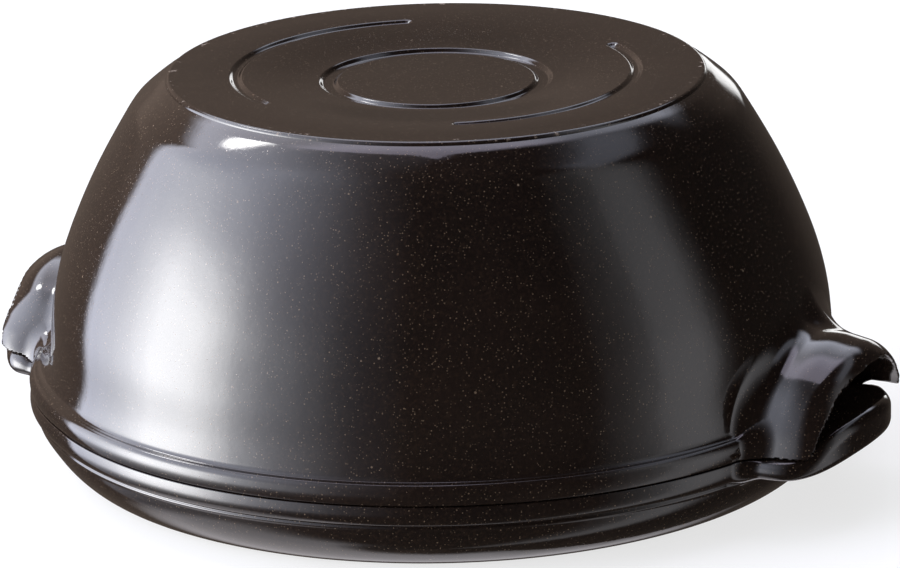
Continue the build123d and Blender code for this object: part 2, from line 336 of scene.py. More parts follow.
def dish_field(p, coarse=1, side=1):
    e = EARS[side]
    top = parting(p, -0.1, 1, e)
    ear = meet(hard_meet(top, along(e["under"], p, 1, 2, coarse, limit=62)), along(e["dish"], p, 1, 0, coarse), DISH_EDGE)
    f = join(meet(around(dish_outer, p, coarse), top, 0.5), ear, DISH_FILLET)
    f = meet(f, top, 0.4)
    d, g = recess_field(p)
    return meet(f, (-d, -g), 1.6)


SWELL = np.array([(8, 0), (14, 0.8), (20, 2.2), (26, 2.5), (31, 2.2), (36, 1.6), (41, 0.9), (46, 0.25), (50, 0)], float)
swell_line = spline(SWELL, 0.5, start=(1, 0), end=(1, 0))


def swollen(p, n):
    """The rim stands out a little beside each ear, on its left as seen from outside: points and normals moved to it."""
    def by(q):
        a = np.degrees(np.arctan2(q[:, 1], q[:, 0])) % 180
        e = np.interp(a, swell_line[:, 0], swell_line[:, 1], left=0, right=0)
        rho = np.hypot(q[:, 0], q[:, 1])
        t, u = np.clip((39 - q[:, 2]) / 5, 0, 1), np.clip((q[:, 2] - 7) / 8, 0, 1)
        v = np.clip((rho - 136) / 5, 0, 1)
        e = e * t * t * (3 - 2 * t) * u * u * (3 - 2 * u) * v * v * (3 - 2 * v)
        out = q.copy()
        out[:, :2] += q[:, :2] * (e / np.maximum(rho, 1e-6))[:, None]
        return out
    moved = by(p)
    near_it = np.abs(moved - p).sum(1) > 1e-5
    if not near_it.any():
        return p, n
    q, m, h = p[near_it], n[near_it], 0.01
    jac = np.stack([(by(q + h * axis) - by(q - h * axis)) / (2 * h) for axis in np.eye(3)], 2)
    turned_n = np.linalg.solve(np.transpose(jac, (0, 2, 1)), m[:, :, None])[:, :, 0]
    out_n = n.copy()
    out_n[near_it] = turned_n / np.linalg.norm(turned_n, axis=1)[:, None]
    return moved, out_n


# ------------------------------------------------------------ meshing
def settle(field, p, turns=4, hold=None):
    """Moves points onto the field's surface. hold(p) puts back what may not move."""
    for _ in range(turns):
        d, g = field(p)
        p = p - np.clip(d, -1.5, 1.5)[:, None] * g / np.maximum((g * g).sum(1), 0.2)[:, None]
        if hold is not None:
            p = hold(p)
    return p


def nets(field, thetas, rhos, zs):
    """Quads on the field's surface over a grid of angle, radius and height: (points, quads)."""
    t, r, z = np.meshgrid(thetas, rhos, zs, indexing="ij")
    p = np.stack([(r * np.cos(t)).ravel(), (r * np.sin(t)).ravel(), z.ravel()], 1)
    f = np.concatenate([field(q, 5)[0] for q in np.array_split(p, 12)]).reshape(t.shape)
    inside = f < 0
    n = np.array(f.shape) - 1
    corner = [(i, j, k) for i in (0, 1) for j in (0, 1) for k in (0, 1)]

    def cut(a, c):
        return a[c[0]:c[0] + n[0], c[1]:c[1] + n[1], c[2]:c[2] + n[2]]

    count = sum(cut(inside, c).astype(int) for c in corner)
    act = (count > 0) & (count < 8)
    idx = np.argwhere(act)
    number = -np.ones(act.shape, int)
    number[act] = np.arange(len(idx))
    total, weight = np.zeros((len(idx), 3)), np.zeros(len(idx))
    for a in corner:
        for axis in range(3):
            if a[axis] == 1:
                continue
            b = list(a)
            b[axis] = 1
            fa = f[tuple((idx + a).T)]
            fb = f[tuple((idx + b).T)]
            w = (fa < 0) != (fb < 0)
            s = np.where(w, fa / np.where(w, fa - fb, 1), 0)
            at = idx + np.array(a, float)
            at[:, axis] += s
            total += at * w[:, None]
            weight += w
    at = total / weight[:, None]
    grid = [np.interp(at[:, i], np.arange(len(g)), g) for i, g in enumerate((thetas, rhos, zs))]
    quads = []
    for axis in range(3):
        o = [slice(None)] * 3
        o[axis] = slice(0, -1)
        q = [slice(None)] * 3
        q[axis] = slice(1, None)
        a, b = inside[tuple(o)], inside[tuple(q)]
        e = np.argwhere(a != b)
        u, v = [i for i in range(3) if i != axis]
        ok = (e[:, u] > 0) & (e[:, v] > 0) & (e[:, u] < n[u]) & (e[:, v] < n[v])
        e = e[ok]
        out = a[tuple(e.T)]
        du, dv = np.zeros(3, int), np.zeros(3, int)
        du[u], dv[v] = 1, 1
        four = np.stack([number[tuple(x.T)] for x in (e - du - dv, e - dv, e, e - du)], 1)
        flip = out if axis != 1 else ~out
        four[flip] = four[flip][:, ::-1]
        quads.append(four)
    return grid, idx, np.vstack(quads)


def patch(field, thetas, rhos, zs, keep):
    """The field's surface near an ear as (points, quads, normals). Its two side edges lie on the outer angles and its top or bottom edge on the outer height."""
    (t, r, z), idx, quads = nets(field, thetas, rhos, zs)
    first, last = idx[:, 0] == 0, idx[:, 0] == len(thetas) - 2
    bottom, top = idx[:, 2] == 0, idx[:, 2] == len(zs) - 2
    t = np.where(first, thetas[0], np.where(last, thetas[-1], t))
    z = np.where(bottom, zs[0], np.where(top, zs[-1], z))
    edge_t, edge_z = first | last, bottom | top
    angle, height = t.copy(), z.copy()

    def hold(p):
        rho = np.hypot(p[:, 0], p[:, 1])
        p = p.copy()
        p[edge_t, 0] = rho[edge_t] * np.cos(angle[edge_t])
        p[edge_t, 1] = rho[edge_t] * np.sin(angle[edge_t])
        p[edge_z, 2] = height[edge_z]
        return p

    p = np.stack([r * np.cos(t), r * np.sin(t), z], 1)
    p = settle(field, p, 3, hold)
    free = ~(edge_t | edge_z)
    ends = np.vstack([quads[:, [i, (i + 1) % 4]] for i in range(4)])
    ends = np.vstack([ends, ends[:, ::-1]])
    for _ in range(3):
        s, c = np.zeros_like(p), np.zeros(len(p))
        for k in range(3):
            s[:, k] = np.bincount(ends[:, 0], p[ends[:, 1], k], len(p))
        c = np.maximum(np.bincount(ends[:, 0], minlength=len(p)), 1)
        p = np.where(free[:, None], p + 0.5 * (s / c[:, None] - p), p)
        p = settle(field, p, 2, hold)
    p = settle(field, p, 2, hold)
    g = field(p)[1]
    g /= np.linalg.norm(g, axis=1)[:, None]
    middle = p[quads].mean(1)
    quads = quads[keep(middle)]
    used = np.unique(quads)
    new = -np.ones(len(p), int)
    new[used] = np.arange(len(used))
    return p[used], new[quads], g[used]


def spaced(lo, hi, step):
    return np.linspace(lo, hi, int(round((hi - lo) / step)) + 1)


# ------------------------------------------------------------ turned parts
def mesh_from(name, parts):
    """One smooth-shaded mesh out of (points, faces, normals) in mm."""
    pts = np.vstack([p for p, _, _ in parts])
    nrm = np.vstack([n for _, _, n in parts])
    faces, base = [], 0
    for p, f, _ in parts:
        faces.append(np.asarray(f, int) + base)
        base += len(p)
    quads = np.vstack([f for f in faces if f.shape[1] == 4])
    tris = [f for f in faces if f.shape[1] == 3]
    corners = pts[quads]
    out = np.cross(corners[:, 2] - corners[:, 0], corners[:, 3] - corners[:, 1])
    wrong = (out * nrm[quads].mean(1)).sum(1) < 0
    quads[wrong] = quads[wrong][:, ::-1]
    loops, starts, at = [quads.ravel()], [np.arange(len(quads)) * 4], len(quads) * 4
    for t in tris:
        corners = pts[t]
        out = np.cross(corners[:, 1] - corners[:, 0], corners[:, 2] - corners[:, 0])
        wrong = (out * nrm[t].mean(1)).sum(1) < 0
        t = t.copy()
        t[wrong] = t[wrong][:, ::-1]
        loops.append(t.ravel())
        starts.append(at + np.arange(len(t)) * 3)
        at += len(t) * 3
    loops, starts = np.concatenate(loops).astype(np.int32), np.concatenate(starts).astype(np.int32)
    # the ears' tips ease up to the CAD's length and never pass it, nor does the foot pass the floor
    pts = pts.copy()
    reach = np.abs(pts[:, 0])
    pts[:, 0] = np.sign(pts[:, 0]) * np.where(reach > 167.3, 167.3 + 1.1 * np.tanh((reach - 167.3) / 1.1), reach)
    pts[:, 2] = np.maximum(pts[:, 2], 0)
    m = bpy.data.meshes.new(name)
    m.vertices.add(len(pts))
    m.vertices.foreach_set("co", (pts * 0.001).astype(np.float32).ravel())
    m.loops.add(len(loops))
    m.loops.foreach_set("vertex_index", loops)
    m.polygons.add(len(starts))
    m.polygons.foreach_set("loop_start", starts)
    m.update(calc_edges=True)
    m.validate()
    m.polygons.foreach_set("use_smooth", np.ones(len(m.polygons), bool))
    m.normals_split_custom_set_from_vertices(nrm.astype(np.float32).tolist())
    m.update()
    o = bpy.data.objects.new(name, m)
    bpy.context.scene.collection.objects.link(o)
    return o


def turned(rho, z, nr, nz, columns, skip=None):
    """Rows of (radius, height) with their normals, turned about Z. Row pairs in skip are left out beside the ears."""
    n = len(columns)
    c, s = np.cos(columns), np.sin(columns)
    pts = np.stack([np.outer(rho, c), np.outer(rho, s), np.outer(z, np.ones(n))], 2).reshape(-1, 3)
    nrm = np.stack([np.outer(nr, c), np.outer(nr, s), np.outer(nz, np.ones(n))], 2).reshape(-1, 3)
    i, j = np.meshgrid(np.arange(len(rho) - 1), np.arange(n), indexing="ij")
    if skip is not None:
        a = columns + math.pi / n
        a = np.abs((a + math.pi / 2) % math.pi - math.pi / 2)
        ok = ~(np.array(skip)[:, None] & (a < SECTOR)[None, :])
        i, j = i[ok], j[ok]
    i, j = i.ravel(), j.ravel()
    k = (j + 1) % n
    return pts, np.stack([i * n + j, (i + 1) * n + j, (i + 1) * n + k, i * n + k], 1), nrm


def cap(r, z, nz, columns):
    """The middle of a turned face, from its innermost row to the axis."""
    n = len(columns)
    ring = np.stack([r * np.cos(columns), r * np.sin(columns), np.full(n, z)], 1)
    pts = np.vstack([ring, [[0, 0, z]]])
    j = np.arange(n)
    return pts, np.stack([j, (j + 1) % n, np.full(n, n)], 1), np.tile([0.0, 0.0, nz], (n + 1, 1))


def rows(*pieces):
    c, n = curve(*pieces)
    return c[:, 0], c[:, 1], n[:, 0], n[:, 1]


def fitted(field, seeds):
    """Profile rows moved onto a field's surface, away from the ears, with the field's own normals."""
    s = np.asarray(seeds, float)
    p = np.stack([np.zeros(len(s)), s[:, 0], s[:, 1]], 1)
    lo, hi = p[0, 2], p[-1, 2]

    def hold(q):
        q = q.copy()
        q[:, 0] = 0
        return q

    p = settle(field, p, 5, hold)
    g = field(p)[1]
    g /= np.linalg.norm(g, axis=1)[:, None]
    return p[:, 1], p[:, 2], g[:, 1], g[:, 2]


def thin(c, step):
    """Points of a dense line about step apart, its ends kept."""
    d = np.r_[0, np.cumsum(np.linalg.norm(np.diff(c, axis=0), axis=1))]
    at = np.linspace(0, d[-1], max(2, int(round(d[-1] / step)) + 1))
    return np.stack([np.interp(at, d, c[:, 0]), np.interp(at, d, c[:, 1])], 1)


def until(c, height, above):
    """The part of a falling line above or below a height, cut exactly there."""
    r = np.interp(-height, -c[:, 1], c[:, 0])
    cut = [[r, height]]
    return np.vstack([c[c[:, 1] > height], cut]) if above else np.vstack([cut, c[c[:, 1] < height]])


BODY = np.radians(np.arange(0, 360, 1.0))
DISC = np.radians(np.arange(0, 360, 0.5))
ANGLES = spaced(-SECTOR, SECTOR, math.radians(0.35))
RADII = np.unique(np.round(np.r_[spaced(127, 137, 1.2), spaced(137, 144.6, 0.55), spaced(144.6, 171.4, 1.0)], 4))


def flip_x(part):
    p, f, n = part
    return p * [-1, 1, 1], f, n * [-1, 1, 1]


# ---- top disc: slightly hollow, with two plain pressed-in rings
TOTAL = 137.0
hollow = spline([(0.0, -3.35), (18.0, -3.35), (30.0, -3.3), (42.0, -2.95), (56.0, -1.6), (70.0, -0.42), (84.0, 0.0),
                 (94.0, 0.0)], 0.5, start=(1, 0), end=(1, 0))
RING_IN, RING_OUT = (34.0, 40.8), (67.2, 72.0)
BREAKS = ((54.6, 124.0), (241.0, 301.5))
GROOVE_RUN = 1.9


def pressed(s, half, depth):
    """Depth of a groove at a distance s from its middle line."""
    t = np.clip((half - s) / GROOVE_RUN, 0, 1)
    return depth * t * t * (3 - 2 * t)


def disc_height(r, a):
    z = TOTAL + np.minimum(np.interp(r, hollow[:, 0], hollow[:, 1]), 0)
    z = z - pressed(np.abs(r - sum(RING_IN) / 2), (RING_IN[1] - RING_IN[0]) / 2, 1.25)
    mid, half = sum(RING_OUT) / 2, (RING_OUT[1] - RING_OUT[0]) / 2
    s = np.abs(r - mid)
    deg = np.degrees(a) % 360
    for lo, hi in BREAKS:
        ends = [math.radians(lo) - 1.9 / mid, math.radians(hi) + 1.9 / mid]
        e = np.minimum(*[np.hypot(r * np.cos(a) - mid * math.cos(b), r * np.sin(a) - mid * math.sin(b)) for b in ends])
        s = np.where((deg > lo - 1.55) & (deg < hi + 1.55), e, s)
    return z - pressed(s, half, 1.0)


def disc_part():
    r = np.unique(np.round(np.r_[spaced(1, 33, 2), spaced(33, 42, 0.2), spaced(42, 66, 2), spaced(66, 73.2, 0.2),
                                 spaced(73.2, 92.6, 1.5)], 4))
    rr, aa = np.meshgrid(r, DISC, indexing="ij")
    z = disc_height(rr, aa)
    e = 0.02
    dr = (disc_height(rr + e, aa) - disc_height(rr - e, aa)) / (2 * e)
    da = (disc_height(rr, aa + e / rr) - disc_height(rr, aa - e / rr)) / (2 * e)
    c, s = np.cos(aa), np.sin(aa)
    nrm = np.stack([-dr * c + da * s, -dr * s - da * c, np.ones_like(rr)], 2).reshape(-1, 3)
    nrm /= np.linalg.norm(nrm, axis=1)[:, None]
    pts = np.stack([rr * c, rr * s, z], 2).reshape(-1, 3)
    n = len(DISC)
    i, j = np.meshgrid(np.arange(len(r) - 1), np.arange(n), indexing="ij")
    i, j = i.ravel(), j.ravel()
    k = (j + 1) % n
    return [(pts, np.stack([i * n + j, (i + 1) * n + j, (i + 1) * n + k, i * n + k], 1), nrm),
            cap(1.0, float(disc_height(np.array([1.0]), np.array([0.0]))[0]), 1.0, DISC)]


# ---- dome lid
def lid_parts():
    out = disc_part()
    side = lid_outer[0]
    out.append(turned(*rows(arc((92.6, 135.5), 1.5, 90, 8, 0.2)), BODY))
    high = fitted(lid_field, thin(until(side[side[:, 1] > 60], LID_HI, True), 2.0))
    low_seeds = np.vstack([
        thin(until(side[side[:, 1] > 35.4], LID_HI, False), 1.2),
        thin(side[(side[:, 1] <= 35.4) & (side[:, 1] > 26.6)], 0.25),
        arc((141.75, LID_CUT + 0.85), 0.85, -5, -90, 0.12), [(141.2, LID_CUT), (140.4, LID_CUT)]])
    lower = fitted(lid_field, low_seeds)
    out.append(turned(*high, BODY))
    out.append(turned(*lower, BODY, skip=[True] * (len(lower[0]) - 1)))
    inner = spline([(134.2, 30.7), (130.4, 38.2), (128.9, 54.2), (125.7, 70.0), (119.8, 85.4), (113.0, 99.6),
                    (105.3, 111.6), (97.2, 120.6), (90.0, 125.4), (80.0, 127.2)], 2.5,
                   start=(-0.3, 1), end=(-1, 0))
    out.append(turned(*rows(line((140.5, LID_CUT), (135.0, LID_CUT)), arc((135.0, LID_CUT + 0.8), 0.8, 270, 180, 0.2),
                            line((134.2, LID_CUT + 0.8), (134.2, 30.7)), inner, line((80, 127.2), (2, 127.2), 6)), BODY))
    out.append(cap(2.0, 127.2, -1.0, BODY))
    for side in (1, -1):
        ear = patch(lambda p, coarse=1: lid_field(p, coarse, side), ANGLES, RADII,
                    np.unique(np.round(np.r_[spaced(24.4, 36.4, 0.5), spaced(36.4, 40.0, 0.7), spaced(40.0, LID_HI, 1.15)], 4)),
                    lambda c: ~((c[:, 2] < LID_CUT + 0.4) & (np.hypot(c[:, 0], c[:, 1]) < 140)))
        out.append(ear if side == 1 else flip_x(ear))
    return out


# ---- dish
RIDGES = (28.0, 52.0, 76.0, 100.0)


def dish_parts():
    floor_r = np.unique(np.round(np.r_[[2.0], spaced(6, 118, 4), *[spaced(a - 3.5, a + 3.5, 0.5) for a in RIDGES]], 3))
    rise = np.zeros(len(floor_r))
    for a in RIDGES:
        t = np.clip(1 - np.abs(floor_r - a) / 3.2, 0, 1)
        rise += 1.4 * t * t * (3 - 2 * t)
    floor = np.stack([floor_r, 10.4 + rise], 1)
    inside = spline([(118.0, 10.4), (126.6, 14.0), (130.2, 20.5), (131.0, 26.0)], 0.8, start=(1, 0), end=(0, 1))
    lip = [line((131.0, 26.0), (131.0, 27.7)), arc((132.0, 27.7), 1.0, 180, 90, 0.2), line((132.0, 28.7), (132.6, 28.7)),
           arc((132.6, 27.7), 1.0, 90, 0, 0.2), line((133.6, 27.7), (133.6, DISH_TOP + 0.6)),
           arc((134.2, DISH_TOP + 0.6), 0.6, 180, 270, 0.2), line((134.2, DISH_TOP), (140.0, DISH_TOP))]
    out = [cap(2.0, 10.4, 1.0, BODY), turned(*rows(floor, inside, *lip), BODY)]
    side = dish_outer[0]
    upper = np.vstack([[(139.9, DISH_TOP)], arc((142.1, DISH_TOP - 0.5), 0.5, 90, 10, 0.1),
                       thin(side[(side[:, 1] < DISH_TOP - 0.7) & (side[:, 1] > 16.2)], 0.25),
                       thin(until(side[side[:, 1] <= 16.2], DISH_LO, True), 1.0)])
    mid = fitted(dish_field, upper)
    out.append(turned(*mid, BODY, skip=[True] * (len(mid[0]) - 1)))
    below = until(side, DISH_LO, False)
    low_rows = fitted(dish_field, thin(below[below[:, 1] > 0.6], 1.0))
    out.append(turned(*low_rows, BODY))
    r0, z0 = float(low_rows[0][-1]), float(low_rows[1][-1])
    foot = [spline([(r0, z0), (125.9, 0.06), (124.5, 0.0)], 0.3, start=(low_rows[3][-1], -low_rows[2][-1]), end=(-1, 0)),
            line((124.5, 0.0), (114.4, 0.0), 2), spline([(114.4, 0.0), (113.4, 0.4), (112.7, 1.6), (111.4, 2.4)], 0.3,
                                                       start=(-1, 0), end=(-1, 0)),
            line((111.4, 2.4), (2.0, 2.4), 8)]
    out.append(turned(*rows(*foot), BODY))
    out.append(cap(2.0, 2.4, -1.0, BODY))
    for side in (1, -1):
        ear = patch(lambda p, coarse=1: dish_field(p, coarse, side), ANGLES, RADII,
                    np.unique(np.round(np.r_[spaced(DISH_LO, 15, 1.2), spaced(15, 27, 0.5), spaced(27, 42, 0.95)], 4)),
                    lambda c: ~((c[:, 2] > DISH_TOP - 0.4) & (np.hypot(c[:, 0], c[:, 1]) < 139)))
        out.append(ear if side == 1 else flip_x(ear))
    return out


# --------------------------------------------------------------- materials
class Nodes:
    """Short names for building a node tree."""

    def __init__(self, tree):
        self.tree = tree
        tree.nodes.clear()

    def add(self, kind, **props):
        n = self.tree.nodes.new(kind)
        for k, v in props.items():
            setattr(n, k, v)
        return n

    def feed(self, socket, value):
        if isinstance(value, bpy.types.NodeSocket):
            self.tree.links.new(value, socket)
        else:
            socket.default_value = value

    def math(self, op, a, b=None, c=None, clamp=False):
        n = self.add("ShaderNodeMath", operation=op, use_clamp=clamp)
        for i, v in enumerate((a, b, c)):
            if v is not None:
                self.feed(n.inputs[i], v)
        return n.outputs[0]

    def step(self, v, lo, hi, y0=0.0, y1=1.0):
        n = self.add("ShaderNodeMapRange", interpolation_type="SMOOTHSTEP")
        for i, x in enumerate((v, lo, hi, y0, y1)):
            self.feed(n.inputs[i], x)
        return n.outputs[0]

    def mix(self, f, a, b):
        n = self.add("ShaderNodeMix", data_type="RGBA")
        self.feed(n.inputs[0], f)
        self.feed(n.inputs[6], a)
        self.feed(n.inputs[7], b)
        return n.outputs[2]

    def noise(self, at, scale, detail=2.0, rough=0.5):
        n = self.add("ShaderNodeTexNoise")
        self.feed(n.inputs["Vector"], at)
        n.inputs["Scale"].default_value = scale
        n.inputs["Detail"].default_value = detail
        n.inputs["Roughness"].default_value = rough
        return n.outputs[0]

    def specks(self, at, cell, size, share):
        """Small round dots, one in some of the cells: (how much, a random value for each)."""
        n = self.add("ShaderNodeTexVoronoi", feature="F1")
        self.feed(n.inputs["Vector"], at)
        n.inputs["Scale"].default_value = 1000.0 / cell
        pick = self.add("ShaderNodeSeparateColor")
        self.feed(pick.inputs[0], n.outputs["Color"])
        limit = self.math("MULTIPLY_ADD", pick.outputs[1], 0.75 * size / cell, 0.4 * size / cell)
        dot = self.step(n.outputs["Distance"], limit, self.math("MULTIPLY", limit, 0.55))
        return self.math("MULTIPLY", dot, self.math("LESS_THAN", pick.outputs[0], share)), pick.outputs[2]


def glaze(name, shift, wear_z):
    """Dark glossy brown-black glaze with fine specks and a slight orange peel.

    wear_z is the height in mm above which a sharp outer edge is a little worn."""
    m = bpy.data.materials.new(name)
    m.use_nodes = True
    k = Nodes(m.node_tree)
    out = k.add("ShaderNodeOutputMaterial")
    s = k.add("ShaderNodeBsdfPrincipled")
    k.feed(out.inputs[0], s.outputs[0])
    here = k.add("ShaderNodeTexCoord").outputs["Object"]
    xyz = k.add("ShaderNodeSeparateXYZ")
    k.feed(xyz.inputs[0], here)
    z = k.math("MULTIPLY", xyz.outputs[2], 1000.0)
    rho = k.math("MULTIPLY", 1000.0, k.math("SQRT", k.math("ADD",
                 k.math("MULTIPLY", xyz.outputs[0], xyz.outputs[0]), k.math("MULTIPLY", xyz.outputs[1], xyz.outputs[1]))))
    moved = k.add("ShaderNodeVectorMath", operation="ADD")
    k.feed(moved.inputs[0], here)
    moved.inputs[1].default_value = shift
    at = moved.outputs[0]
    # colour: slow clouds, a fine mottle, then three kinds of speck
    cloud = k.noise(at, 14.0, 3.0, 0.55)
    mottle = k.noise(at, 900.0, 2.0, 0.6)
    colour = k.mix(k.step(cloud, 0.32, 0.68), (0.0062, 0.0040, 0.0034, 1), (0.0096, 0.0060, 0.0047, 1))
    colour = k.mix(k.step(mottle, 0.45, 0.75, 0.0, 0.55), colour, (0.022, 0.0135, 0.0092, 1))
    dots, tone = k.specks(at, 0.95, 0.29, 0.62)
    colour = k.mix(k.math("MULTIPLY", dots, 0.85), colour, k.mix(tone, (0.032, 0.021, 0.013, 1), (0.125, 0.090, 0.060, 1)))
    big, tone2 = k.specks(at, 5.0, 0.50, 0.20)
    colour = k.mix(k.math("MULTIPLY", big, 0.8), colour, k.mix(tone2, (0.050, 0.028, 0.015, 1), (0.19, 0.145, 0.105, 1)))
    # worn glaze on the sharp outer edge of the disc and on the lowest edge of the foot
    scuff = k.noise(at, 260.0, 3.0, 0.7)
    edge = k.math("MULTIPLY", k.step(z, wear_z - 1.2, wear_z), k.step(rho, 89.8, 91.2))
    worn = k.math("MULTIPLY", edge, k.step(scuff, 0.60, 0.70))
    foot = k.math("MULTIPLY", k.step(z, 0.25, 0.08), k.step(rho, 100.0, 108.0))
    colour = k.mix(k.math("MULTIPLY", worn, 0.7), colour, (0.22, 0.17, 0.13, 1))
    colour = k.mix(k.math("MULTIPLY", foot, 0.85), colour, (0.085, 0.050, 0.034, 1))
    k.feed(s.inputs["Base Color"], colour)
    # gloss: a little uneven, duller on the specks, rough on the foot ring
    gloss = k.step(k.noise(at, 45.0, 3.0, 0.6), 0.3, 0.7, 0.055, 0.09)
    gloss = k.math("ADD", gloss, k.math("MULTIPLY", dots, 0.10))
    gloss = k.math("ADD", gloss, k.math("MULTIPLY", k.math("MAXIMUM", foot, worn), 0.42))
    k.feed(s.inputs["Roughness"], gloss)
    s.inputs["IOR"].default_value = 1.52
    # surface: long soft waves, orange peel and the grain of the specks
    wave = k.math("MULTIPLY", k.noise(at, 55.0, 1.0), 0.55)
    peel = k.math("MULTIPLY", k.noise(at, 330.0, 2.0, 0.5), 0.10)
    pits = k.math("MULTIPLY", k.math("MAXIMUM", dots, big), 0.03)
    grain = k.math("MULTIPLY", k.math("MULTIPLY", scuff, foot), 0.25)
    bump = k.add("ShaderNodeBump")
    k.feed(bump.inputs["Height"], k.math("ADD", k.math("ADD", wave, peel), k.math("ADD", pits, grain)))
    bump.inputs["Strength"].default_value = 0.5
    bump.inputs["Distance"].default_value = 0.00035
    k.feed(s.inputs["Normal"], bump.outputs[0])
    return m


def swell_all(parts):
    return [(*swollen(p, n)[:1], f, swollen(p, n)[1]) for p, f, n in parts]


lid = mesh_from("lid_body", swell_all(lid_parts()))
dish = mesh_from("dish_body", swell_all(dish_parts()))
lid_glaze, dish_glaze = glaze("glaze_lid", (0.0, 0.0, 0.0), 136.6), glaze("glaze_dish", (0.37, 0.19, 0.0), 500.0)
lid.data.materials.append(lid_glaze)
dish.data.materials.append(dish_glaze)
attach(lid, "lid")
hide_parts("dome_lid")
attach(dish, "base")
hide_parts("base_dish")

# ------------------------------------------------------------------- stage
floor_mesh = bpy.data.meshes.new("floor")
floor_mesh.from_pydata([(-30, -30, 0), (30, -30, 0), (30, 30, 0), (-30, 30, 0)], [], [(0, 1, 2, 3)])
floor = bpy.data.objects.new("floor", floor_mesh)
bpy.context.scene.collection.objects.link(floor)
fm = bpy.data.materials.new("floor_pale")
fm.use_nodes = True
k = Nodes(fm.node_tree)
pale, glow, both_ = k.add("ShaderNodeBsdfDiffuse"), k.add("ShaderNodeEmission"), k.add("ShaderNodeMixShader")
pale.inputs[0].default_value = (0.9, 0.9, 0.9, 1)
glow.inputs[0].default_value = (1, 1, 1, 1)
glow.inputs[1].default_value = 1.02
both_.inputs[0].default_value = 0.72
k.feed(both_.inputs[1], pale.outputs[0])
k.feed(both_.inputs[2], glow.outputs[0])
k.feed(k.add("ShaderNodeOutputMaterial").inputs[0], both_.outputs[0])
floor_mesh.materials.append(fm)
floor.visible_glossy = False     # a dark table top is what the lower wall mirrors

# Soft boxes, given by direction: a large one on the left with a bright middle,
# a row of them above and behind, a faint narrow one on the right and dim walls.
world = bpy.data.worlds.new("studio")
world.use_nodes = True
bpy.context.scene.world = world
k = Nodes(world.node_tree)
ray = k.add("ShaderNodeSeparateXYZ")
k.feed(ray.inputs[0], k.add("ShaderNodeTexCoord").outputs["Generated"])
azimuth = k.math("DEGREES", k.math("ARCTAN2", ray.outputs[1], ray.outputs[0]))
height = k.math("DEGREES", k.math("ARCSINE", ray.outputs[2]))


def along_curve(v, pts):
    """A smooth curve through (x, y) points, y up to 1."""
    lo, hi = pts[0][0], pts[-1][0]
    n = k.add("ShaderNodeFloatCurve")
    c = n.mapping.curves[0]
    n.mapping.use_clip = True
    for i, (x, y) in enumerate(pts):
        x = (x - lo) / (hi - lo)
        if i in (0, len(pts) - 1):
            c.points[0 if i == 0 else len(c.points) - 1].location = (x, y)
        else:
            c.points.new(x, y)
    for q in c.points:
        q.handle_type = "AUTO_CLAMPED"
    n.mapping.update()
    k.feed(n.inputs["Value"], k.math("DIVIDE", k.math("SUBTRACT", v, lo), hi - lo, clamp=True))
    return k.math("MAXIMUM", n.outputs[0], 0.0)


# azimuth runs on from 90 degrees through 180 to 450, so no box is cut in two
turn = k.math("ADD", azimuth, k.math("MULTIPLY", k.math("LESS_THAN", azimuth, 90.0), 360.0))
high = along_curve(turn, [(90, 0.40), (120, 0.55), (150, 0.66), (165, 0.78), (180, 0.88), (200, 0.92), (210, 0.90), (220, 0.80),
                          (230, 0.62), (240, 0.44), (250, 0.28), (260, 0.15), (270, 0.06), (280, 0.02), (290, 0.0), (450, 0.0)])
drop = along_curve(height, [(-90, 0.0), (-45, 0.03), (-30, 0.12), (-20, 0.38), (-12, 0.85), (0, 1.0), (32, 1.0), (40, 0.93), (50, 0.76), (60, 0.48), (70, 0.21), (77, 0.08), (90, 0.03)])
# behind the object only the upper half of the row is bright
open_low = k.math("MAXIMUM", k.step(turn, 167.0, 173.0), k.step(height, 30.0, 38.0))
side_box = k.math("MULTIPLY", k.math("MULTIPLY", high, drop), open_low)
# the row fades out a little past the middle of the back
fade = k.math("MULTIPLY", k.math("MULTIPLY", k.step(turn, 428.0, 450.0, 0.0, 0.40), drop), k.step(height, 30.0, 38.0))
side_box = k.math("ADD", side_box, fade)
spot = k.math("MULTIPLY",
              along_curve(turn, [(90, 0.0), (170, 0.0), (180, 0.09), (190, 0.30), (200, 0.70), (210, 0.98), (216, 1.0), (222, 0.90),
                                 (230, 0.56), (240, 0.17), (250, 0.06), (262, 0.02), (275, 0.0), (450, 0.0)]),
              along_curve(height, [(-90, 0.0), (-40, 0.01), (-28, 0.08), (-20, 0.35), (-10, 0.85), (0, 1.0), (10, 1.0), (18, 0.75), (25, 0.30), (32, 0.06), (38, 0.0), (90, 0.0)]))
strip = k.math("MULTIPLY",
               along_curve(turn, [(90, 0.0), (335, 0.0), (345, 0.12), (360, 0.55), (372, 0.98), (380, 0.75), (389, 0.1), (395, 0.0), (450, 0.0)]),
               along_curve(height, [(-90, 0.3), (-20, 0.9), (0, 1.0), (15, 0.85), (30, 0.72), (45, 0.5), (55, 0.15), (62, 0.0), (90, 0.0)]))
slope = k.math("MULTIPLY",
               along_curve(turn, [(90, 0.55), (112, 0.0), (360, 0.0), (375, 0.4), (390, 0.95), (410, 1.0), (430, 0.8), (450, 0.55)]),
               along_curve(height, [(-90, 0.0), (42, 0.0), (49, 0.75), (56, 1.0), (61, 0.6), (68, 0.08), (74, 0.0), (90, 0.0)]))
